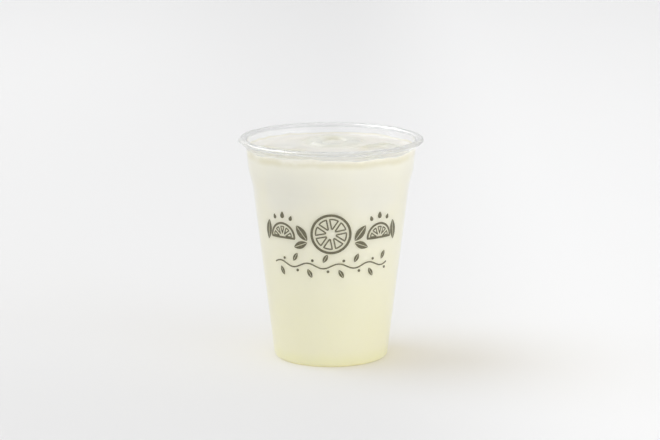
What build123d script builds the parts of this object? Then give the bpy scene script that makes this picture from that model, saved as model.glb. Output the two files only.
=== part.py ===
"""Disposable clear cold-drink cup, filled with lemonade nearly to the brim.

The cup is one thin wall with the same thickness everywhere.  It starts at the raised middle
of the base, drops into a narrow ring that it stands on, climbs a tapered side, widens at a
soft stacking shoulder into a steeper band, and ends in an open curl rolled outwards.
The lemonade fills the inside up to its level and touches the wall all over.

Origin: centre of the ring that the cup stands on.  +Z is up.  All sizes are in millimetres.
"""

import os
from math import cos, radians, sin

from build123d import *

# Overall sizes
cup_height = 118.0
rim_diameter = 98.0
foot_diameter = 60.4  # where the line of the side meets the floor, outside
wall = 0.4

# Rolled rim, seen in section: a shallow arched crown between two tighter shoulders
roll_width = 4.3
roll_height = 2.4
roll_turn = 60.0  # degrees that each tight shoulder turns before the crown
curl_gap = 0.8  # slot left between the end of the curl and the wall
lip_height = 2.0  # short upright wall below the roll
lip_bend = 10.0

# Side
band_height = 16.5  # from the top of the rim down to the shoulder
band_inset = 1.3  # how much the radius shrinks over the band
shoulder_height = 9.0
shoulder_inset = 2.35  # how much the radius shrinks over the shoulder
shoulder_bend = 18.0  # radius of the bends above and below the shoulder

# Base
push_up_height = 4.0  # how far the middle of the base stands off the floor
push_up_draft = 0.5  # lean of the short wall round the raised middle
foot_channel_width = 3.4  # bottom of the ring inside, before its corners are rounded
heel_radius = 1.6
channel_radius = 0.7
push_up_radius = 0.9

# Drink
headspace = 7.0  # from the top of the rim down to the level

# Radii of the roll that give it the stated width and height
turn_sin = sin(radians(roll_turn))
turn_cos = cos(radians(roll_turn))
crown_part = (1 - turn_sin) / (2 * turn_cos)
roll_radius = (roll_height - roll_width * crown_part) / (
    1 + turn_sin - 2 * crown_part * (1 - turn_cos)
)
crown_radius = (roll_width - 2 * roll_radius * (1 - turn_cos)) / (2 * turn_cos)

# Worked out from the sizes above
mouth_radius = rim_diameter / 2 - roll_width
rim_root = cup_height - roll_height + roll_radius
band_radius = mouth_radius - band_inset
shoulder_radius = band_radius - shoulder_inset
foot_radius = foot_diameter / 2 - wall
push_up_edge = foot_radius - foot_channel_width
band_bottom = cup_height - band_height
shoulder_bottom = band_bottom - shoulder_height
fill_level = cup_height - headspace


def inside_face():
    """Inside face of the wall, from the centre of the base up to the root of the rim."""
    return FilletPolyline(
        (0, push_up_height + wall),
        (push_up_edge - push_up_draft, push_up_height + wall),
        (push_up_edge, wall),
        (foot_radius, wall),
        (shoulder_radius, shoulder_bottom),
        (band_radius, band_bottom),
        (mouth_radius, rim_root - lip_height),
        (mouth_radius, rim_root),
        radius=[
            push_up_radius,
            channel_radius,
            heel_radius,
            shoulder_bend,
            shoulder_bend,
            lip_bend,
        ],
    )


# Cup: the inside face runs on over the roll, and the wall is laid along its other side
with BuildPart() as cup:
    with BuildSketch(Plane.XZ):
        with BuildLine():
            inside = inside_face()
            over = JernArc(inside @ 1, inside % 1, roll_radius, -roll_turn)
            crown = JernArc(over @ 1, over % 1, crown_radius, 2 * roll_turn - 180)
            under = JernArc(crown @ 1, crown % 1, roll_radius, -90 - roll_turn)
            Line(under @ 1, (mouth_radius + wall + curl_gap, cup_height - roll_height))
            offset(amount=wall, side=Side.RIGHT)
        make_face()
    revolve(axis=Axis.Z)

# Lemonade: everything inside the cup below the level
with BuildPart() as lemonade:
    with BuildSketch(Plane.XZ):
        with BuildLine():
            inside = inside_face()
            Polyline(inside @ 1, (0, rim_root), inside @ 0)
        make_face()
        with Locations((0, fill_level)):
            Rectangle(rim_diameter, headspace, align=(Align.CENTER, Align.MIN), mode=Mode.SUBTRACT)
    revolve(axis=Axis.Z)

cup.part.label = "cup"
lemonade.part.label = "lemonade"

os.makedirs("parts", exist_ok=True)
export_step(cup.part, "parts/cup.step")
export_step(lemonade.part, "parts/lemonade.step")
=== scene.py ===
"""Clear cold-drink cup filled with iced lemonade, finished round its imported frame.

The frame gives the cup's rim, height, wall and level. The cup is turned from its profile as clear
plastic, ice floats in the drink, the drink is cut round the ice, and the front carries a one-colour
fruit print.
"""

from math import asin, cos, pi, radians, sin, tan

import bmesh
import bpy
import numpy as np
from bpy.props import FloatProperty, FloatVectorProperty, IntProperty, PointerProperty
from bpy.types import Operator, Panel, PropertyGroup
from mathutils import Matrix, Vector, noise
from mathutils.bvhtree import BVHTree


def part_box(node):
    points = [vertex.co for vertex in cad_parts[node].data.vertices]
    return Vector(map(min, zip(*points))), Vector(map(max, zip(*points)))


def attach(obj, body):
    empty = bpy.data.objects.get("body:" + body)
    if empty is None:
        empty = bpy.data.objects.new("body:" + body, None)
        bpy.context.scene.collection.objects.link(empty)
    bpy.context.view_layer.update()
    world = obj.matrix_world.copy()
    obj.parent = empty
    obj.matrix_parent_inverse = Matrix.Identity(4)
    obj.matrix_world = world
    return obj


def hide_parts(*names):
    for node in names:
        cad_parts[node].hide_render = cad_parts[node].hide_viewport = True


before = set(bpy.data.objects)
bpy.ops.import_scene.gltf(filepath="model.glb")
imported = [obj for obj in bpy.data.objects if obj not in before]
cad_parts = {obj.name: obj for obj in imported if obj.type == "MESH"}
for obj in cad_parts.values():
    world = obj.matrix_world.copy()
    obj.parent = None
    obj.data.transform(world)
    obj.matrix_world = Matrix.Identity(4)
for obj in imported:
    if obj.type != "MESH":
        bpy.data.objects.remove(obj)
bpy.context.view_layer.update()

bl_info = {
    "name": "Iced Lemonade Cup",
    "version": (1, 0, 0),
    "blender": (4, 5, 0),
    "location": "3D Viewport > Sidebar > Lemonade",
    "description": "Builds a clear cold-drink cup of iced lemonade with a printed front",
    "category": "Add Mesh",
}

MM = 0.001
TINY = 1e-6
BODY = "root"
# Noise vectors differ from run to run unless a seed is set
NOISE_SEED = 2
CUP_LOW, CUP_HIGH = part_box("cup")
DRINK_LOW, DRINK_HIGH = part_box("lemonade")
FLOOR = CUP_LOW.z
FLOOR_RADIUS = 8
LAMP_DISTANCE = 3
WALL = DRINK_LOW.z - CUP_LOW.z
LEVEL = DRINK_HIGH.z


# ---------------------------------------------------------------- settings


class CupSettings(PropertyGroup):
    """Profile and finish of the cup."""

    roll_width: FloatProperty(
        name="Roll Width", description="Width of the rolled rim", default=4.3 * MM, unit="LENGTH"
    )
    roll_height: FloatProperty(
        name="Roll Height", description="Height of the rolled rim", default=2.4 * MM, unit="LENGTH"
    )
    roll_turn: FloatProperty(
        name="Roll Turn",
        description="How far each tight shoulder of the roll turns",
        default=radians(60),
        subtype="ANGLE",
    )
    curl_gap: FloatProperty(
        name="Curl Gap", description="Slot below the roll", default=0.8 * MM, unit="LENGTH"
    )
    lip_height: FloatProperty(
        name="Lip Height", description="Upright wall below the roll", default=2 * MM, unit="LENGTH"
    )
    band_height: FloatProperty(
        name="Band Height",
        description="From the top of the rim to the shoulder",
        default=16.5 * MM,
        unit="LENGTH",
    )
    band_inset: FloatProperty(
        name="Band Inset", description="Taper of the band", default=1.3 * MM, unit="LENGTH"
    )
    shoulder_height: FloatProperty(
        name="Shoulder Height",
        description="Height of the stacking shoulder",
        default=9 * MM,
        unit="LENGTH",
    )
    shoulder_inset: FloatProperty(
        name="Shoulder Inset",
        description="Taper of the stacking shoulder",
        default=2.35 * MM,
        unit="LENGTH",
    )
    foot_radius: FloatProperty(
        name="Foot Radius",
        description="Where the line of the side meets the floor, inside",
        default=29.8 * MM,
        unit="LENGTH",
    )
    channel_width: FloatProperty(
        name="Channel Width",
        description="Width of the standing ring",
        default=3.4 * MM,
        unit="LENGTH",
    )
    push_up: FloatProperty(
        name="Push Up", description="Height of the raised base", default=4 * MM, unit="LENGTH"
    )
    plastic: FloatVectorProperty(
        name="Plastic",
        description="Tint of the clear plastic",
        default=(0.985, 0.99, 0.985),
        subtype="COLOR",
        min=0,
        max=1,
    )
    # Painted shade: a grey tint for the darker sides of the cup seen at a slant
    plastic_side_shade: FloatVectorProperty(
        name="Plastic Side",
        description="Tint of the plastic seen at a slant",
        default=(0.89, 0.895, 0.89),
        subtype="COLOR",
        min=0,
        max=1,
    )
    # Painted shade: dark lines along the rolled rim
    roll_edge_shade: FloatVectorProperty(
        name="Roll Edge",
        description="Tint of the tightly rolled rim seen at a slant",
        default=(0.68, 0.69, 0.69),
        subtype="COLOR",
        min=0,
        max=1,
    )
    # Painted shade: a dark line round the bend of the mouth
    mouth_bend_shade: FloatVectorProperty(
        name="Mouth Bend",
        description="Tint of the tight bend round the mouth",
        default=(0.82, 0.83, 0.83),
        subtype="COLOR",
        min=0,
        max=1,
    )
    # Painted shade: dark lines where the plastic is seen edge on
    plastic_edge_shade: FloatVectorProperty(
        name="Plastic Edge",
        description="Tint of the plastic seen edge on",
        default=(0.28, 0.29, 0.29),
        subtype="COLOR",
        min=0,
        max=1,
    )
    segments: IntProperty(name="Segments", description="Faces round the cup", default=256, min=32)


class DrinkSettings(PropertyGroup):
    """Form and colour of the lemonade."""

    top_colour: FloatVectorProperty(
        name="Top",
        description="Colour just below the ice",
        default=(0.935, 0.925, 0.82),
        subtype="COLOR",
        min=0,
        max=1,
    )
    # Yellower than the top, and partly painted light: brighter for the light the drink carries down
    # to the base
    low_colour: FloatVectorProperty(
        name="Low",
        description="Colour near the base",
        default=(0.99, 0.95, 0.74),
        subtype="COLOR",
        min=0,
        max=1,
    )
    # Painted glow: brighter and deeper yellow, for the light the drink gathers in the ring at the
    # base
    heel_glow_colour: FloatVectorProperty(
        name="Heel",
        description="Colour in the standing ring",
        default=(1.0, 0.97, 0.66),
        subtype="COLOR",
        min=0,
        max=1,
    )
    glow_colour: FloatVectorProperty(
        name="Glow",
        description="Colour of light that passes through the drink",
        default=(1.0, 0.97, 0.86),
        subtype="COLOR",
        min=0,
        max=1,
    )
    passes: FloatVectorProperty(
        name="Passes",
        description="Share of the lamps' light that crosses one side of the drink",
        default=(0.74, 0.62, 0.27),
        subtype="COLOR",
        min=0,
        max=1,
    )
    heel_passes: FloatVectorProperty(
        name="Heel Passes",
        description="Share of the lamps' light that crosses the thin edge at the base",
        default=(1.0, 0.92, 0.66),
        subtype="COLOR",
        min=0,
        max=1,
    )
    surface_colour: FloatVectorProperty(
        name="Surface",
        description="Colour of the open surface",
        default=(0.895, 0.895, 0.885),
        subtype="COLOR",
        min=0,
        max=1,
    )
    ghost_colour: FloatVectorProperty(
        name="Ghost",
        description="Colour of ice seen just under the open surface",
        default=(0.87, 0.88, 0.855),
        subtype="COLOR",
        min=0,
        max=1,
    )
    # Painted shade: the dark line where the surface meets the wall
    line_shade_colour: FloatVectorProperty(
        name="Line",
        description="Colour of the line where the surface meets the wall",
        default=(0.745, 0.725, 0.60),
        subtype="COLOR",
        min=0,
        max=1,
    )
    icy_colour: FloatVectorProperty(
        name="Icy",
        description="Colour where ice lies close behind the surface",
        default=(0.895, 0.90, 0.85),
        subtype="COLOR",
        min=0,
        max=1,
    )
    haze_colour: FloatVectorProperty(
        name="Haze",
        description="Colour of the faint wisps of pulp",
        default=(0.75, 0.72, 0.50),
        subtype="COLOR",
        min=0,
        max=1,
    )
    meniscus: FloatProperty(
        name="Meniscus", description="Rise at the wall", default=1.8 * MM, unit="LENGTH"
    )
    meniscus_reach: FloatProperty(
        name="Meniscus Reach",
        description="How far from the wall the rise fades",
        default=1.6 * MM,
        unit="LENGTH",
    )
    wave: FloatProperty(
        name="Wave",
        description="Unevenness of the line on the wall",
        default=1.4 * MM,
        unit="LENGTH",
    )
    ice_meniscus: FloatProperty(
        name="Ice Meniscus", description="Rise at the ice", default=0.7 * MM, unit="LENGTH"
    )
    into_wall: FloatProperty(
        name="Into Wall",
        description="How far the drink reaches into the wall",
        default=0.25 * MM,
        unit="LENGTH",
    )
    bed_depth: FloatProperty(
        name="Bed Depth",
        description="How deep the drink's surface sinks under the ice",
        default=1.4 * MM,
        unit="LENGTH",
    )
    ghost_depth: FloatProperty(
        name="Ghost Depth",
        description="Depth at which ice fades from sight",
        default=13 * MM,
        unit="LENGTH",
    )


class IceSettings(PropertyGroup):
    """Size and finish of the ice."""

    radius: FloatProperty(
        name="Radius", description="Radius of the open end", default=16.5 * MM, unit="LENGTH"
    )
    dome_radius: FloatProperty(
        name="Dome Radius", description="Radius of the closed end", default=13 * MM, unit="LENGTH"
    )
    height: FloatProperty(
        name="Height", description="Length of a piece", default=27 * MM, unit="LENGTH"
    )
    hollow_radius: FloatProperty(
        name="Hollow Radius", description="Radius of the hollow", default=6.5 * MM, unit="LENGTH"
    )
    hollow_depth: FloatProperty(
        name="Hollow Depth", description="Depth of the hollow", default=17 * MM, unit="LENGTH"
    )
    melt: FloatProperty(
        name="Melt", description="Unevenness of the melted faces", default=1.1 * MM, unit="LENGTH"
    )


class PrintSettings(PropertyGroup):
    """Place and colour of the print."""

    ink: FloatVectorProperty(
        name="Ink",
        description="Colour of the print",
        default=(0.13, 0.12, 0.07),
        subtype="COLOR",
        min=0,
        max=1,
    )
    upper_row: FloatProperty(
        name="Upper Row", description="Height of the fruit row", default=73.5 * MM, unit="LENGTH"
    )
    lower_row: FloatProperty(
        name="Lower Row", description="Height of the leaf row", default=56 * MM, unit="LENGTH"
    )
    line: FloatProperty(
        name="Line", description="Width of the drawn lines", default=1.3 * MM, unit="LENGTH"
    )
    thickness: FloatProperty(
        name="Thickness", description="Thickness of the ink", default=0.05 * MM, unit="LENGTH"
    )


class StageSettings(PropertyGroup):
    """Camera, lamps and floor."""

    camera_distance: FloatProperty(
        name="Camera Distance", description="In front of the cup", default=1.36, unit="LENGTH"
    )
    camera_height: FloatProperty(
        name="Camera Height", description="Above the floor", default=0.352, unit="LENGTH"
    )
    camera_side: FloatProperty(
        name="Camera Side", description="Along X", default=-0.5 * MM, unit="LENGTH"
    )
    camera_pitch: FloatProperty(
        name="Camera Pitch", description="Below level", default=radians(11.59), subtype="ANGLE"
    )
    focal_length: FloatProperty(
        name="Focal Length", description="In millimetres", default=142.4, min=10
    )
    key_power: FloatProperty(name="Key Power", description="In watts", default=34.0, min=0)
    fill_power: FloatProperty(name="Fill Power", description="In watts", default=26.0, min=0)
    front_power: FloatProperty(name="Front Power", description="In watts", default=7.0, min=0)
    window_azimuth: FloatProperty(
        name="Window Azimuth",
        description="Direction of the bright window that gloss shows, in degrees",
        default=164.0,
    )
    window_elevation: FloatProperty(
        name="Window Elevation", description="Height of the window, in degrees", default=45.0
    )
    window_glow: FloatProperty(
        name="Window Glow", description="Brightness of the window in gloss", default=4.0, min=0
    )
    sky_strength: FloatProperty(
        name="Sky Strength", description="Light from all round", default=0.72, min=0
    )
    floor_colour: FloatVectorProperty(
        name="Floor",
        description="Colour of the floor",
        default=(0.833, 0.835, 0.84),
        subtype="COLOR",
        min=0,
        max=1,
    )


# ---------------------------------------------------------------- nodes and meshes


def node(tree, kind, inputs=None, **attributes):
    """Adds a node; inputs maps a socket's name or number to a value or to another node's output."""
    made = tree.nodes.new(kind)
    for name, value in attributes.items():
        setattr(made, name, value)
    for name, value in (inputs or {}).items():
        if isinstance(value, bpy.types.NodeSocket):
            tree.links.new(value, made.inputs[name])
        elif made.inputs[name].type == "RGBA":
            made.inputs[name].default_value = (*value, 1)
        else:
            made.inputs[name].default_value = value
    return made


def new_material(name):
    """An empty node material and its tree."""
    material = bpy.data.materials.new(name)
    material.use_nodes = True
    material.node_tree.nodes.clear()
    return material, material.node_tree


def show(tree, surface, kind="ShaderNodeOutputMaterial"):
    """Adds the output node that shows a surface."""
    node(tree, kind, {"Surface": surface})


def principled(tree, sockets):
    """Output of a Principled shader."""
    return node(tree, "ShaderNodeBsdfPrincipled", sockets).outputs[0]


def blend_colours(tree, factor, first, second):
    """Output of a colour mix; factor, first and second are values or outputs."""
    mix = node(tree, "ShaderNodeMix", {0: factor, 6: first, 7: second}, data_type="RGBA")
    return mix.outputs[2]


def maths(tree, operation, *values):
    """Output of a maths node on values or outputs."""
    return node(tree, "ShaderNodeMath", dict(enumerate(values)), operation=operation).outputs[0]


def mottle(tree, where, scale, detail, roughness=0.5):
    """Output of an even noise over the object, from 0 to 1."""
    sockets = {"Vector": where, "Scale": scale, "Detail": detail, "Roughness": roughness}
    return node(tree, "ShaderNodeTexNoise", sockets).outputs["Fac"]


def bump(tree, height, strength, distance):
    """Output of the normal that a bump gives."""
    sockets = {"Height": height, "Strength": strength, "Distance": distance}
    return node(tree, "ShaderNodeBump", sockets).outputs[0]


def mix_shaders(tree, factor, first, second):
    """Output of a shader mix; factor is a value or an output."""
    return node(tree, "ShaderNodeMixShader", {0: factor, 1: first, 2: second}).outputs[0]


def object_place(tree):
    """Outputs of the place on the object and of its height."""
    where = node(tree, "ShaderNodeTexCoord").outputs["Object"]
    return where, node(tree, "ShaderNodeSeparateXYZ", {0: where}).outputs["Z"]


def ramp_between(tree, value, low, high):
    """Output that goes smoothly from 0 at low to 1 at high."""
    ramp = node(
        tree,
        "ShaderNodeMapRange",
        {"Value": value, "From Min": low, "From Max": high},
        interpolation_type="SMOOTHSTEP",
    )
    return ramp.outputs[0]


def let_light_through(tree, surface, tint, trapped):
    """The shader, clear for rays from lamps and from lit surfaces.

    It is clear too for rays that it has mirrored inside itself, but for the trapped share of them.
    """
    path = node(tree, "ShaderNodeLightPath")
    clear = node(tree, "ShaderNodeBsdfTransparent", {"Color": tint}).outputs[0]
    freed = mix_shaders(tree, path.outputs["Is Glossy Ray"], surface, clear)
    mix = mix_shaders(tree, trapped, freed, surface)
    for ray in ("Is Diffuse Ray", "Is Shadow Ray"):
        mix = mix_shaders(tree, path.outputs[ray], mix, clear)
    return mix


def mesh_object(name, vertices, faces):
    """A smooth-shaded mesh object in the scene."""
    mesh = bpy.data.meshes.new(name)
    mesh.from_pydata(vertices, [], faces)
    mesh.update()
    mesh.shade_smooth()
    made = bpy.data.objects.new(name, mesh)
    bpy.context.scene.collection.objects.link(made)
    return made


def turned(profile, segments):
    """Vertices and faces of (radius, height) points turned round Z; one on Z makes a pole."""
    angles = np.arange(segments) * 2 * pi / segments
    ring = np.stack([np.cos(angles), np.sin(angles)], axis=1)
    vertices, rows = [], []
    for radius, height in profile:
        pole = radius < TINY
        first = len(vertices)
        rows.append([first] * segments if pole else range(first, first + segments))
        points = ring[:1] * 0 if pole else ring * radius
        vertices.extend((x, y, height) for x, y in points)
    faces = []
    for low, high in zip(rows, rows[1:]):
        for i in range(segments):
            j = (i + 1) % segments
            corners = [low[i], low[j], high[j], high[i]]
            faces.append(list(dict.fromkeys(corners)))
    return vertices, faces


def apply_modifiers(piece):
    """Bakes the piece's modifiers into its mesh."""
    graph = bpy.context.evaluated_depsgraph_get()
    mesh = bpy.data.meshes.new_from_object(piece.evaluated_get(graph))
    piece.modifiers.clear()
    piece.data = mesh


def finish_piece(piece, materials, replaces=()):
    """Gives the piece its materials and hangs it on the part's body."""
    piece.data.materials.clear()
    for material in materials:
        piece.data.materials.append(material)
    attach(piece, BODY)
    if replaces:
        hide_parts(*replaces)


# ---------------------------------------------------------------- profile


def arc(start, heading, radius, angle):
    """Points of a clockwise arc that leaves start along heading, and its last heading."""
    centre = start + Vector((heading.y, -heading.x)) * radius
    steps = max(4, round(angle / radians(7.5)))
    points = []
    for step in range(1, steps + 1):
        turn = Matrix.Rotation(-angle * step / steps, 2)
        points.append(centre + turn @ (start - centre))
    return points, Matrix.Rotation(-angle, 2) @ heading


def rounded(corners, radii):
    """Points along a line through corners, each inner corner rounded by an arc of its radius."""
    points = [corners[0]]
    for before, corner, after, radius in zip(corners, corners[1:], corners[2:], radii):
        back = (before - corner).normalized()
        ahead = (after - corner).normalized()
        half = back.angle(ahead) / 2
        centre = corner + (back + ahead).normalized() * radius / sin(half)
        first = corner + back * radius / tan(half) - centre
        last = corner + ahead * radius / tan(half) - centre
        swing = first.angle(last)
        steps = max(4, round(swing / radians(6)))
        for step in range(steps + 1):
            share = step / steps
            spoke = first * sin((1 - share) * swing) + last * sin(share * swing)
            points.append(centre + spoke / sin(swing))
    return points + [corners[-1]]


def spaced(points, most):
    """The same line with no run longer than most."""
    out = [points[0]]
    for a, b in zip(points, points[1:]):
        steps = max(1, int((b - a).length / most + 0.999))
        out += [a.lerp(b, step / steps) for step in range(1, steps + 1)]
    return out


def roll_radii(cup):
    """Radii of the roll's tight shoulders and of its crown."""
    s, c = sin(cup.roll_turn), cos(cup.roll_turn)
    part = (1 - s) / (2 * c)
    tight = (cup.roll_height - cup.roll_width * part) / (1 + s - 2 * part * (1 - c))
    return tight, (cup.roll_width - 2 * tight * (1 - c)) / (2 * c)


def inside_line(cup):
    """Inside face of the wall as (radius, height) points, from the axis to the root of the rim."""
    tight, _ = roll_radii(cup)
    mouth = CUP_HIGH.x - cup.roll_width
    root = CUP_HIGH.z - cup.roll_height + tight
    band = mouth - cup.band_inset
    shoulder = band - cup.shoulder_inset
    band_bottom = CUP_HIGH.z - cup.band_height
    edge = cup.foot_radius - cup.channel_width
    corners = [
        (0, cup.push_up + WALL),
        (edge - 0.5 * MM, cup.push_up + WALL),
        (edge, WALL),
        (cup.foot_radius, WALL),
        (shoulder, band_bottom - cup.shoulder_height),
        (band, band_bottom),
        (mouth, root - cup.lip_height),
        (mouth, root),
    ]
    # The bend of each inner corner, from the raised base up to the lip
    radii = [0.9 * MM, 0.7 * MM, 1.6 * MM, 18 * MM, 18 * MM, 10 * MM]
    return rounded([Vector(c) for c in corners], radii)


def cup_line(cup):
    """Inside face carried on over the roll to the end of the curl."""
    line = inside_line(cup)
    tight, crown = roll_radii(cup)
    heading = Vector((0, 1))
    for radius, angle in (
        (tight, cup.roll_turn),
        (crown, pi - 2 * cup.roll_turn),
        (tight, pi / 2 + cup.roll_turn),
    ):
        points, heading = arc(line[-1], heading, radius, angle)
        line += points
    line.append(Vector((CUP_HIGH.x - cup.roll_width + WALL + cup.curl_gap, line[-1].y)))
    return line


def beside(line, distance):
    """The line moved by distance to its right."""
    out = []
    for i, point in enumerate(line):
        along = (line[min(i + 1, len(line) - 1)] - line[max(i - 1, 0)]).normalized()
        out.append(point + Vector((along.y, -along.x)) * distance)
    return out


# ---------------------------------------------------------------- cup


def clear_plastic(cup):
    """Clear plastic with faint waves from forming, with painted shade where it is seen at a slant
    or edge on.
    """
    material, tree = new_material("clear_plastic")
    where, height = object_place(tree)
    waves = mottle(tree, where, scale=30, detail=1, roughness=0.4)
    facing = node(tree, "ShaderNodeLayerWeight", {"Blend": 0.5}).outputs["Facing"]
    slanted = ramp_between(tree, facing, 0.35, 0.85)
    roll_slanted = ramp_between(tree, facing, 0.42, 0.85)
    edge_on = ramp_between(tree, facing, 0.86, 1.0)

    roll_foot = CUP_HIGH.z - cup.roll_height
    on_roll = ramp_between(tree, height, roll_foot + 0.2 * MM, roll_foot + 1.4 * MM)
    above_foot = ramp_between(tree, height, roll_foot + 0.3 * MM, roll_foot + 0.9 * MM)
    flat = node(
        tree, "ShaderNodeVectorMath", {0: where, 1: (1, 1, 0)}, operation="MULTIPLY"
    ).outputs[0]
    radius = node(tree, "ShaderNodeVectorMath", {0: flat}, operation="LENGTH").outputs["Value"]
    mouth = CUP_HIGH.x - cup.roll_width
    at_mouth = ramp_between(tree, radius, mouth + 0.35 * MM, mouth + 0.1 * MM)
    on_bend = maths(tree, "MULTIPLY", at_mouth, above_foot)
    over_base = ramp_between(tree, height, 4 * MM, 50 * MM)

    # Painted shade: grey at a slant, dark lines on the roll, round the mouth bend and edge on,
    # faded out towards the base
    tint = blend_colours(tree, slanted, cup.plastic, cup.plastic_side_shade)
    roll_shade_tint = blend_colours(tree, roll_slanted, cup.plastic, cup.roll_edge_shade)
    tint = blend_colours(tree, on_roll, tint, roll_shade_tint)
    tint = blend_colours(tree, on_bend, tint, cup.mouth_bend_shade)
    tint = blend_colours(tree, edge_on, tint, cup.plastic_edge_shade)
    tint = blend_colours(tree, over_base, cup.plastic, tint)
    plastic = principled(
        tree,
        {
            "Base Color": tint,
            "Transmission Weight": 1.0,
            "Roughness": 0.02,
            "IOR": 1.57,
            "Normal": bump(tree, waves, strength=0.06, distance=0.4 * MM),
        },
    )
    surface = let_light_through(tree, plastic, tint=(0.97, 0.97, 0.97), trapped=0.3)
    show(tree, surface)
    return material


class LEMONADE_OT_cup(Operator):
    """Turn the clear cup from its profile"""

    bl_idname = "lemonade.cup"
    bl_label = "Cup"

    def execute(self, context):
        cup = context.scene.lemonade_cup
        inside = cup_line(cup)
        outside = beside(inside, WALL)
        outside[0].x = 0
        profile = outside + inside[::-1]
        piece = mesh_object("clear_cup", *turned(profile, cup.segments))
        finish_piece(piece, [clear_plastic(cup)], ["cup"])
        return {"FINISHED"}


# ---------------------------------------------------------------- ice


ICE_SEGMENTS = 72
# Each piece's middle and the height of its top over the level, in millimetres, then its lean, the
# way of the axis it leans about and its turn, in degrees, and its size
ICE = (
    ((1.0, 21.5), 2.6, 3, 60, 0, 1.00),
    ((-25.5, 2.0), 2.3, 13, 150, 40, 0.80),
    ((26.0, 1.5), 2.1, 12, 330, 80, 0.80),
    ((-13.5, -22.5), 2.2, 97, 250, 15, 0.80),
    ((14.0, -22.0), 2.4, 19, 300, 120, 0.80),
)


def ice_profile(ice):
    """Closed end down, hollow open end up, as (radius, height) points from axis to axis."""
    h = ice.height
    corners = [
        (0, h - ice.hollow_depth),
        (ice.hollow_radius * 0.75, h - ice.hollow_depth),
        (ice.hollow_radius, h),
        (ice.radius, h),
        (ice.dome_radius, 0),
        (0, 0),
    ]
    radii = [ice.hollow_radius * 0.6, 2.6 * MM, 3.2 * MM, ice.dome_radius * 0.6]
    return spaced(rounded([Vector(c) for c in corners], radii), 1.2 * MM)


def ice_mesh(ice, place, rise, lean, lean_way, turn, size, seed):
    """Vertices and faces of one melted piece, its top at rise over the level."""
    vertices, faces = turned(ice_profile(ice)[::-1], ICE_SEGMENTS)
    axis = Vector((cos(radians(lean_way)), sin(radians(lean_way)), 0))
    spin = Matrix.Rotation(radians(lean), 3, axis) @ Matrix.Rotation(radians(turn), 3, "Z")
    offset = Vector((seed * 7.3, seed * 3.1, seed * 5.7))
    points = []
    for vertex in vertices:
        point = Vector(vertex) - Vector((0, 0, ice.height / 2))
        broad = noise.noise_vector(point * 75 + offset)
        small = noise.noise_vector(point * 190 + offset)
        points.append(spin @ ((point + (broad + 0.4 * small) * ice.melt) * size))
    top = max(p.z for p in points)
    move = Vector((place[0] * MM, place[1] * MM, LEVEL + rise * MM - top))
    return [p + move for p in points], faces


def clear_ice():
    """Wet ice: clear, with a cloudy heart and a rippled, melting face."""
    material, tree = new_material("clear_ice")
    where, _ = object_place(tree)
    ripples = mottle(tree, where, scale=260, detail=3, roughness=0.55)
    clouds = mottle(tree, where, scale=130, detail=4, roughness=0.6)
    cloudy = ramp_between(tree, clouds, 0.35, 0.7)
    body = principled(
        tree,
        {
            "Base Color": blend_colours(tree, cloudy, (0.95, 0.965, 0.955), (0.985, 0.99, 0.985)),
            "Transmission Weight": 1.0,
            "Roughness": 0.06,
            "IOR": 1.31,
            "Normal": bump(tree, ripples, strength=0.35, distance=0.5 * MM),
        },
    )
    surface = let_light_through(tree, body, tint=(0.97, 0.98, 0.98), trapped=0.6)
    show(tree, surface)
    return material


class LEMONADE_OT_ice(Operator):
    """Float the hollow ice pieces at the level"""

    bl_idname = "lemonade.ice"
    bl_label = "Ice"

    def execute(self, context):
        ice = context.scene.lemonade_ice
        noise.seed_set(NOISE_SEED)
        vertices, faces = [], []
        for seed, (place, rise, lean, lean_way, turn, size) in enumerate(ICE):
            points, sides = ice_mesh(ice, place, rise, lean, lean_way, turn, size, seed)
            faces += [[v + len(vertices) for v in side] for side in sides]
            vertices += points
        piece = mesh_object("ice", vertices, faces)
        finish_piece(piece, [clear_ice()])
        return {"FINISHED"}


# ---------------------------------------------------------------- lemonade


SURFACE_RINGS = 64


def drink_line(cup, drink):
    """Outline of the drink as (radius, height) points, with the rise at the wall, axis to axis."""
    side = beside(inside_line(cup), drink.into_wall)
    side[0].x = 0
    top = LEVEL + drink.meniscus
    lower = [p for p in spaced(side, 1 * MM) if p.y < top]
    rim = side_radius(side, top)
    surface = []
    for step in range(SURFACE_RINGS + 1):
        # Rings lie a little closer near the wall, where the surface rises
        radius = rim * (1 - step / SURFACE_RINGS) ** 0.9
        rise = drink.meniscus * np.exp(-(rim - radius) / drink.meniscus_reach)
        surface.append(Vector((radius, LEVEL + rise)))
    return lower + surface


def side_radius(side, height):
    """Radius of a side line at a height."""
    foot = FLOOR + 3 * MM
    start = max(i for i, point in enumerate(side) if point.y < foot)
    climb = side[start:]
    return float(np.interp(height, [p.y for p in climb], [p.x for p in climb]))


def line_wave(point, drink):
    """How far the line on the wall wanders up or down at the point's side of the cup."""
    around = Vector((point.x, point.y, 0)).normalized()
    broad = noise.noise(around * 2.6)
    small = noise.noise(around * 7.0)
    return drink.wave * (broad + 0.4 * small)


def lift_surface(piece, tree, drink, rim):
    """Raises the surface where it wets the ice, and waves the line where it meets the wall."""
    wave_depth = 4 * MM
    ice_reach = 1.1 * MM
    for vertex in piece.data.vertices:
        point = vertex.co
        if point.z < LEVEL - wave_depth:
            continue
        near_wall = np.exp((point.xy.length - rim) / drink.meniscus_reach)
        upper = min(1.0, (point.z - LEVEL) / wave_depth + 1)
        point.z += line_wave(point, drink) * near_wall * upper
        on_top = point.z > LEVEL - 0.01 * MM
        if on_top:
            distance = tree.find_nearest(point)[3]
            point.z += drink.ice_meniscus * np.exp(-distance / ice_reach)


def combine(piece, other, operation):
    """Cuts the piece with the other's solids, or keeps what they share."""
    modifier = piece.modifiers.new("cut", "BOOLEAN")
    modifier.operation = operation
    modifier.solver = "EXACT"
    modifier.object = other
    apply_modifiers(piece)


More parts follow.
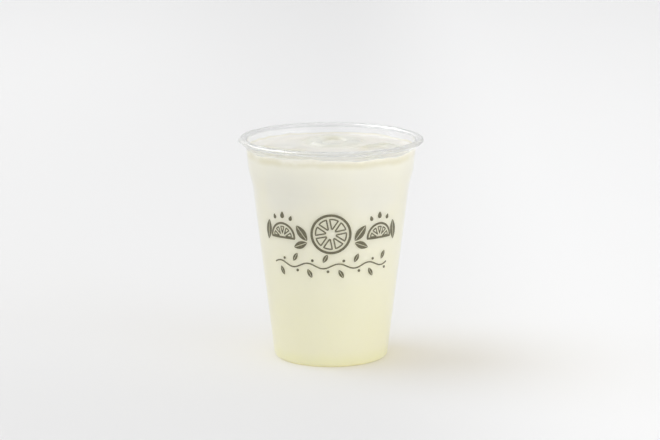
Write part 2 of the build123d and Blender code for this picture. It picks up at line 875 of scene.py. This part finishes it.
def keep_above(piece, height):
    """Cuts away all of the piece below a height, by a cone that holds the rest of it."""
    cone = [Vector((0, height)), Vector((0.1, height)), Vector((0, 0.3))]
    slab = mesh_object("slab", *turned(cone, 24))
    combine(piece, slab, "INTERSECT")
    bpy.data.objects.remove(slab)


def shrink(mesh, depth):
    """Moves every point of the mesh inwards."""
    places = np.empty(len(mesh.vertices) * 3, np.float32)
    normals = np.empty_like(places)
    mesh.vertices.foreach_get("co", places)
    mesh.vertex_normals.foreach_get("vector", normals)
    mesh.vertices.foreach_set("co", places - normals * depth)
    mesh.update()


def mark_surface(piece, tree, drink, rim):
    """Stores how near ice lies, what is open surface, and how far below the line a point is."""
    open_depth = 5 * MM
    wall_strip = 1.2 * MM
    marks = {"ice_distance": [], "open_surface": [], "below_line": []}
    for vertex in piece.data.vertices:
        point = vertex.co
        inner = point.z > LEVEL - open_depth and point.xy.length < rim - wall_strip
        edge = LEVEL + drink.meniscus + line_wave(point, drink)
        marks["ice_distance"].append(tree.find_nearest(point)[3])
        marks["open_surface"].append(1.0 if inner else 0.0)
        # A value far above the line keeps its colour off the open surface
        marks["below_line"].append(-open_depth if inner else edge - point.z)
    for name, values in marks.items():
        made = piece.data.attributes.new(name, "FLOAT", "POINT")
        made.data.foreach_set("value", np.array(values, np.float32))


def stored(tree, name):
    """Output of a value that the mesh carries."""
    return node(tree, "ShaderNodeAttribute", attribute_name=name).outputs["Fac"]


def lemonade_colour(tree, drink, height, wisps):
    """Output of the drink's colour, from its height, the ice near it, the line and the surface."""
    distance = stored(tree, "ice_distance")
    below = stored(tree, "below_line")

    # Yellower towards the base, and there partly painted light: brighter for the light the drink
    # carries down
    risen = ramp_between(tree, height, 15 * MM, 92 * MM)
    # Painted glow: the ring at the base brighter and deeper yellow, for light gathered there
    in_glowing_heel = ramp_between(tree, height, 10 * MM, 1 * MM)
    colour = blend_colours(tree, risen, drink.low_colour, drink.top_colour)
    colour = blend_colours(tree, in_glowing_heel, colour, drink.heel_glow_colour)

    near_ice = ramp_between(tree, distance, drink.ghost_depth, 0.3 * drink.ghost_depth)
    uneven_height = maths(tree, "MULTIPLY_ADD", wisps, 16 * MM, height)
    by_level = ramp_between(tree, uneven_height, LEVEL - 13 * MM, LEVEL + 1 * MM)
    icy = maths(tree, "MAXIMUM", near_ice, maths(tree, "MULTIPLY", by_level, 0.75))
    colour = blend_colours(tree, icy, colour, drink.icy_colour)
    colour = blend_colours(tree, maths(tree, "MULTIPLY", wisps, 0.06), colour, drink.haze_colour)

    # Painted shade: a dark, uneven band just below where the surface meets the wall
    fade_in = ramp_between(tree, below, -1.2 * MM, -0.2 * MM)
    fade_out = ramp_between(tree, below, 5.5 * MM, 2 * MM)
    uneven = ramp_between(tree, wisps, 0.2, 0.55)
    line = maths(tree, "MULTIPLY", maths(tree, "MULTIPLY", fade_in, fade_out), uneven)
    colour = blend_colours(tree, line, colour, drink.line_shade_colour)

    ghost = ramp_between(tree, distance, 0.45 * drink.ghost_depth, 0)
    surface = blend_colours(tree, ghost, drink.surface_colour, drink.ghost_colour)
    return blend_colours(tree, stored(tree, "open_surface"), colour, surface)


def cloudy_lemonade(drink):
    """Cloudy lemonade, paler near the ice, with a painted yellow glow in the ring at the base and a
    painted dark line at the wall.
    """
    material, tree = new_material("cloudy_lemonade")
    where, height = object_place(tree)
    wisps = mottle(tree, where, scale=55, detail=5, roughness=0.6)
    # Light spreads less in the thin ring at the base
    spread = node(
        tree,
        "ShaderNodeMapRange",
        {
            "Value": height,
            "From Min": 4 * MM,
            "From Max": 16 * MM,
            "To Min": 1.5 * MM,
            "To Max": 6 * MM,
        },
    )
    body = principled(
        tree,
        {
            "Base Color": lemonade_colour(tree, drink, height, wisps),
            "Roughness": 0.05,
            "IOR": 1.34,
            "Subsurface Weight": 1.0,
            "Subsurface Radius": (1.0, 1.0, 1.0),
            "Subsurface Scale": spread.outputs[0],
            "Specular IOR Level": 0.5,
            "Normal": bump(tree, wisps, strength=0.1, distance=0.3 * MM),
        },
    )
    glow = node(tree, "ShaderNodeBsdfTranslucent", {"Color": drink.glow_colour})
    glow_share = 0.22
    lit = mix_shaders(tree, glow_share, body, glow.outputs[0])
    above_heel = ramp_between(tree, height, 4 * MM, 20 * MM)
    passes = blend_colours(tree, above_heel, drink.heel_passes, drink.passes)
    clear = node(tree, "ShaderNodeBsdfTransparent", {"Color": passes})
    path = node(tree, "ShaderNodeLightPath")
    surface = mix_shaders(tree, path.outputs["Is Shadow Ray"], lit, clear.outputs[0])
    show(tree, surface)
    return material


class LEMONADE_OT_drink(Operator):
    """Pour the lemonade round the ice"""

    bl_idname = "lemonade.drink"
    bl_label = "Lemonade"

    def execute(self, context):
        cup = context.scene.lemonade_cup
        drink = context.scene.lemonade_drink
        ice = bpy.data.objects["ice"]
        tree = BVHTree.FromPolygons(
            [v.co for v in ice.data.vertices], [p.vertices for p in ice.data.polygons]
        )
        piece = mesh_object("lemonade_body", *turned(drink_line(cup, drink), cup.segments))
        rim = max(v.co.x for v in piece.data.vertices)
        lift_surface(piece, tree, drink, rim)
        cutter = ice.copy()
        cutter.data = ice.data.copy()
        bpy.context.scene.collection.objects.link(cutter)
        # The ice reaches a little into the drink, so that no gap shows
        overlap = 0.15 * MM
        shrink(cutter.data, overlap)
        keep_above(cutter, LEVEL - drink.bed_depth)
        combine(piece, cutter, "DIFFERENCE")
        bpy.data.objects.remove(cutter)
        mark_surface(piece, tree, drink, rim)
        piece.data.shade_smooth()
        piece.data.set_sharp_from_angle(angle=radians(50))
        finish_piece(piece, [cloudy_lemonade(drink)], ["lemonade"])
        return {"FINISHED"}


# ---------------------------------------------------------------- print


def patch(outline, rings=4):
    """A filled shape with the middle of its outline inside it, as vertices and faces."""
    middle = sum(outline, Vector((0, 0))) / len(outline)
    count = len(outline)
    vertices = [middle]
    for ring in range(1, rings + 1):
        vertices += [middle.lerp(p, ring / rings) for p in outline]
    faces = [[0, 1 + i, 1 + (i + 1) % count] for i in range(count)]
    for ring in range(rings - 1):
        low = 1 + ring * count
        for i in range(count):
            j = (i + 1) % count
            faces.append([low + i, low + count + i, low + count + j, low + j])
    return vertices, faces


def stroke(path, width, closed=False):
    """A line of the given width along a path."""
    vertices, faces = [], []
    count = len(path)
    for i, point in enumerate(path):
        ahead = path[(i + 1) % count] if closed else path[min(i + 1, count - 1)]
        behind = path[i - 1] if closed else path[max(i - 1, 0)]
        along = (ahead - behind).normalized()
        side = Vector((-along.y, along.x)) * width / 2
        vertices += [point - side, point, point + side]
    for i in range(count if closed else count - 1):
        a, b = 3 * i, 3 * ((i + 1) % count)
        faces += [[a, b, b + 1, a + 1], [a + 1, b + 1, b + 2, a + 2]]
    return vertices, faces


def circle_points(centre, radius, start=0.0, stop=2 * pi, count=72):
    """Points of an arc; a full circle leaves out its last point."""
    full = abs(stop - start - 2 * pi) < TINY
    steps = count if full else count - 1
    angles = [start + (stop - start) * i / steps for i in range(count)]
    return [centre + Vector((cos(a), sin(a))) * radius for a in angles]


def wedge(centre, inner, outer, start, stop, gap):
    """One juicy segment of a citrus slice, a rounded wedge with the gap left on both sides."""
    lean = (start + stop) / 2
    half = (stop - start) / 2
    sides = []
    for radius in np.linspace(inner, outer, 9):
        sides.append((radius, half - asin(min(0.95, gap / 2 / radius))))
    points = [Vector((radius * cos(angle), -radius * sin(angle))) for radius, angle in sides]
    points += circle_points(Vector((0, 0)), outer, -sides[-1][1], sides[-1][1], 9)[1:-1]
    for radius, angle in sides[::-1]:
        points.append(Vector((radius * cos(angle), radius * sin(angle))))
    turn = Matrix.Rotation(lean, 2)
    return [centre + turn @ p for p in points]


def slice_shapes(centre, radius, line, segments, start=0.0, stop=2 * pi):
    """A citrus slice: rind line and the outlines of its segments."""
    whole = abs(stop - start - 2 * pi) < TINY
    path = circle_points(centre, radius - line / 2, start, stop, 96)
    if not whole:
        ends = spaced([path[-1], path[0]], 0.8 * MM)
        path = path + ends[1:-1]
    shapes = [stroke(path, line, closed=True)]
    step = (stop - start) / segments
    for i in range(segments):
        outline = wedge(
            centre,
            inner=radius * 0.26,
            outer=radius - line * 2.1,
            start=start + i * step,
            stop=start + (i + 1) * step,
            gap=line * 1.35,
        )
        shapes.append(stroke(outline, line * 0.55, closed=True))
    return shapes


def leaf(root, length, width, angle):
    """A pointed leaf in two halves on either side of its open midrib."""
    turn = Matrix.Rotation(angle, 2)
    shapes = []
    for side in (1, -1):
        outline = []
        for i in range(21):
            t = i / 20
            outline.append(Vector((t * length, side * width / 2 * sin(pi * t) ** 0.8)))
        for i in range(19, 0, -1):
            t = i / 20
            outline.append(Vector((t * length, side * width * 0.055 * sin(pi * t) ** 0.5)))
        shapes.append(patch([root + turn @ p for p in outline], 3))
    return shapes


def drop(centre, radius, angle=0.0):
    """A drop with its point away from the angle."""
    turn = Matrix.Rotation(angle, 2)
    outline = []
    for i in range(36):
        a = 2 * pi * i / 36
        stretch = 1 + 0.75 * max(0.0, cos(a)) ** 3
        outline.append(centre + turn @ (Vector((cos(a) * stretch, sin(a))) * radius))
    return patch(outline, 3)


def spot(row, x, up=0.0):
    """The place x millimetres right of the middle and up millimetres above a row's height."""
    return Vector((x * MM, row + up * MM))


def fruit_row(row, line):
    """A whole slice with leaves, and on either side a half slice under drops and a leaf."""
    shapes = slice_shapes(spot(row, 0), 10.8 * MM, line, 8, radians(11), radians(371))
    for side in (-1, 1):
        root = spot(row, side * 12.6, -4)
        shapes += leaf(root, 10 * MM, 4.6 * MM, radians(90 - side * 38))
        root = spot(row, side * 12.6, -5)
        shapes += leaf(root, 8 * MM, 4 * MM, radians(90 - side * 112))
        middle = spot(row, side * 27.5, -3.5)
        shapes += slice_shapes(middle, 8.2 * MM, line * 0.85, 5, 0.0, pi)
        shapes.append(drop(spot(row, side * 27.5, 8.2), 1.3 * MM, radians(90)))
        shapes.append(drop(spot(row, side * 22.3, 7), 1 * MM, radians(90 + side * 18)))
        shapes.append(drop(spot(row, side * 32.7, 7), 1 * MM, radians(90 - side * 18)))
        root = spot(row, side * 38.5, -6)
        shapes += leaf(root, 11 * MM, 4.6 * MM, radians(90 + side * 6))
    return shapes


def vine_row(row, line):
    """The vine below the fruit: a long wave with small leaves and dots."""
    half, wave, steps = 33, 16.5, 140
    path = []
    for i in range(steps + 1):
        x = -half + 2 * half * i / steps
        path.append(spot(row, x, 1.3 * sin(2 * pi * x / wave)))
    shapes = [stroke(path, line * 0.55)]
    for i in range(8):
        x = -28.9 + wave / 2 * i
        up = 1 if i % 2 else -1
        shapes += leaf(spot(row, x, up * 1.9), 5.2 * MM, 2.4 * MM, radians(up * 62))
        shapes.append(patch(circle_points(spot(row, x + 2.6, -up * 2.9), 0.75 * MM, count=24), 2))
    return shapes


def wrap(point, side, lift):
    """A flat point wrapped round the front of the cup's side line."""
    radius = side_radius(side, point.y)
    angle = point.x / radius
    return Vector((sin(angle) * (radius + lift), -cos(angle) * (radius + lift), point.y))


def print_ink(settings):
    """Dark satin ink with a slightly uneven lay."""
    material, tree = new_material("print_ink")
    where, _ = object_place(tree)
    grain = mottle(tree, where, scale=900, detail=3)
    worn = tuple(min(1.0, c * 1.5 + 0.01) for c in settings.ink)
    colour = blend_colours(tree, ramp_between(tree, grain, 0.45, 0.75), settings.ink, worn)
    rough = node(tree, "ShaderNodeMapRange", {"Value": grain, "To Min": 0.32, "To Max": 0.5})
    ink = principled(tree, {"Base Color": colour, "Roughness": rough.outputs[0]})
    show(tree, ink)
    return material


class LEMONADE_OT_print(Operator):
    """Print the fruit motif on the front of the cup"""

    bl_idname = "lemonade.print"
    bl_label = "Print"

    def execute(self, context):
        cup = context.scene.lemonade_cup
        settings = context.scene.lemonade_print
        outside = beside(inside_line(cup), WALL)
        vertices, faces = [], []
        line = settings.line
        shapes = fruit_row(settings.upper_row, line) + vine_row(settings.lower_row, line)
        # A little over half of the ink's thickness stands out from the wall
        lift = settings.thickness * 0.6
        for points, sides in shapes:
            faces += [[v + len(vertices) for v in side] for side in sides]
            vertices += [wrap(p, outside, lift) for p in points]
        piece = mesh_object("front_print", vertices, faces)
        work = bmesh.new()
        work.from_mesh(piece.data)
        for face in work.faces:
            face.normal_update()
            if face.normal.dot(face.calc_center_median() * Vector((1, 1, 0))) < 0:
                face.normal_flip()
        work.to_mesh(piece.data)
        work.free()
        modifier = piece.modifiers.new("thickness", "SOLIDIFY")
        modifier.thickness = settings.thickness
        modifier.offset = -1
        apply_modifiers(piece)
        piece.data.shade_smooth()
        piece.data.set_sharp_from_angle(angle=radians(40))
        finish_piece(piece, [print_ink(settings)])
        return {"FINISHED"}


# ---------------------------------------------------------------- stage


def shade(colour, factor):
    """The colour made lighter or darker."""
    return tuple(min(1.0, channel * factor) for channel in colour)


def floor_material(stage):
    """Matt white floor with painted shade in front and painted light to the right and far left."""
    material, tree = new_material("studio_floor")
    where = node(tree, "ShaderNodeTexCoord").outputs["Object"]
    split = node(tree, "ShaderNodeSeparateXYZ", {0: where})
    x, y = split.outputs["X"], split.outputs["Y"]
    # Painted light and shade: darker in front of the cup, brighter to the right and far left
    behind = ramp_between(tree, y, -0.15, 0.2)
    right = ramp_between(tree, x, 0, 0.16)
    left, far = ramp_between(tree, x, 0, -0.25), ramp_between(tree, y, 0.3, 1.3)
    colour = stage.floor_colour
    painted_light_tone = blend_colours(tree, behind, shade(colour, 0.93), colour)
    painted_light_tone = blend_colours(tree, right, painted_light_tone, shade(colour, 1.1))
    painted_light_tone = blend_colours(tree, maths(tree, "MULTIPLY", left, far), painted_light_tone, shade(colour, 1.05))
    floor = principled(tree, {"Base Color": painted_light_tone, "Roughness": 0.9, "Specular IOR Level": 0.1})
    show(tree, floor)
    return material


def direction(azimuth, elevation):
    """Unit vector at degrees round from +X towards +Y and degrees above the floor."""
    a, e = radians(azimuth), radians(elevation)
    return Vector((cos(a) * cos(e), sin(a) * cos(e), sin(e)))


def add_area_lamp(name, azimuth, elevation, size, power):
    """A square soft lamp aimed at the middle of the cup."""
    data = bpy.data.lights.new(name, "AREA")
    data.size = size
    data.energy = power
    lamp = bpy.data.objects.new(name, data)
    bpy.context.scene.collection.objects.link(lamp)
    towards = direction(azimuth, elevation)
    lamp.location = (CUP_LOW + CUP_HIGH) / 2 + towards * LAMP_DISTANCE
    lamp.rotation_mode = "QUATERNION"
    lamp.rotation_quaternion = towards.to_track_quat("Z", "Y")
    return lamp


def add_world(stage):
    """Even white light; gloss and glass show a room, darker low down, with one bright window."""
    world = bpy.data.worlds.new("studio")
    world.use_nodes = True
    tree = world.node_tree
    tree.nodes.clear()
    path = node(tree, "ShaderNodeLightPath")
    where = node(tree, "ShaderNodeTexCoord").outputs["Generated"]
    up = node(tree, "ShaderNodeSeparateXYZ", {0: where}).outputs["Z"]
    low_room, high_room, backdrop = (0.86,) * 3, (0.94,) * 3, (0.93,) * 3
    room = blend_colours(tree, ramp_between(tree, up, 0.35, 0.75), low_room, high_room)
    towards = direction(stage.window_azimuth, stage.window_elevation)
    facing = node(
        tree, "ShaderNodeVectorMath", {0: where, 1: towards}, operation="DOT_PRODUCT"
    ).outputs["Value"]
    # The window fades between 28 and 36 degrees from its middle
    window = ramp_between(tree, facing, cos(radians(36)), cos(radians(28)))
    room = blend_colours(tree, window, room, (stage.window_glow,) * 3)
    even = node(tree, "ShaderNodeBackground", {"Color": (1, 1, 1), "Strength": stage.sky_strength})
    seen = node(tree, "ShaderNodeBackground", {"Color": room})
    behind = node(tree, "ShaderNodeBackground", {"Color": backdrop})
    shader = even.outputs[0]
    for ray in ("Is Glossy Ray", "Is Transmission Ray"):
        shader = mix_shaders(tree, path.outputs[ray], shader, seen.outputs[0])
    shader = mix_shaders(tree, path.outputs["Is Camera Ray"], shader, behind.outputs[0])
    show(tree, shader, "ShaderNodeOutputWorld")
    bpy.context.scene.world = world


def add_camera(stage):
    """Camera in front of the cup, looking slightly down."""
    data = bpy.data.cameras.new("camera")
    data.lens = stage.focal_length
    data.sensor_width = 36
    data.clip_end = 50
    camera = bpy.data.objects.new("camera", data)
    bpy.context.scene.collection.objects.link(camera)
    camera.location = (stage.camera_side, -stage.camera_distance, stage.camera_height)
    camera.rotation_euler = (pi / 2 - stage.camera_pitch, 0, 0)
    bpy.context.scene.camera = camera


class LEMONADE_OT_stage(Operator):
    """Add the floor, lamps, surroundings and camera"""

    bl_idname = "lemonade.stage"
    bl_label = "Stage"

    def execute(self, context):
        stage = context.scene.lemonade_stage
        disc = [Vector((FLOOR_RADIUS, FLOOR)), Vector((0, FLOOR))]
        floor = mesh_object("floor", *turned(disc, 96))
        floor.data.materials.append(floor_material(stage))
        key = add_area_lamp("key", azimuth=168, elevation=54, size=2.2, power=stage.key_power)
        key.data.color = (1, 0.99, 0.975)
        add_area_lamp("fill", azimuth=-35, elevation=9, size=2.4, power=stage.fill_power)
        front = add_area_lamp(
            "front", azimuth=-92, elevation=15, size=2.4, power=stage.front_power
        )
        front.visible_glossy = False
        add_world(stage)
        add_camera(stage)
        context.scene.view_settings.view_transform = "Standard"
        return {"FINISHED"}


# ---------------------------------------------------------------- panel and registration


class LEMONADE_PT_panel(Panel):
    """Lists the pieces of the cup"""

    bl_label = "Lemonade"
    bl_idname = "LEMONADE_PT_panel"
    bl_space_type = "VIEW_3D"
    bl_region_type = "UI"
    bl_category = "Lemonade"

    def draw(self, context):
        for operator in OPERATORS:
            self.layout.operator(operator.bl_idname)


SETTINGS = {
    "lemonade_cup": CupSettings,
    "lemonade_drink": DrinkSettings,
    "lemonade_ice": IceSettings,
    "lemonade_print": PrintSettings,
    "lemonade_stage": StageSettings,
}
OPERATORS = (
    LEMONADE_OT_cup,
    LEMONADE_OT_ice,
    LEMONADE_OT_drink,
    LEMONADE_OT_print,
    LEMONADE_OT_stage,
)


def register():
    for cls in (*SETTINGS.values(), *OPERATORS, LEMONADE_PT_panel):
        bpy.utils.register_class(cls)
    for name, cls in SETTINGS.items():
        setattr(bpy.types.Scene, name, PointerProperty(type=cls))


def unregister():
    for name in SETTINGS:
        delattr(bpy.types.Scene, name)
    for cls in (LEMONADE_PT_panel, *OPERATORS[::-1], *SETTINGS.values()):
        bpy.utils.unregister_class(cls)


def main():
    register()
    bpy.ops.lemonade.cup()
    bpy.ops.lemonade.ice()
    bpy.ops.lemonade.drink()
    bpy.ops.lemonade.print()
    bpy.ops.lemonade.stage()


if __name__ == "__main__":
    main()
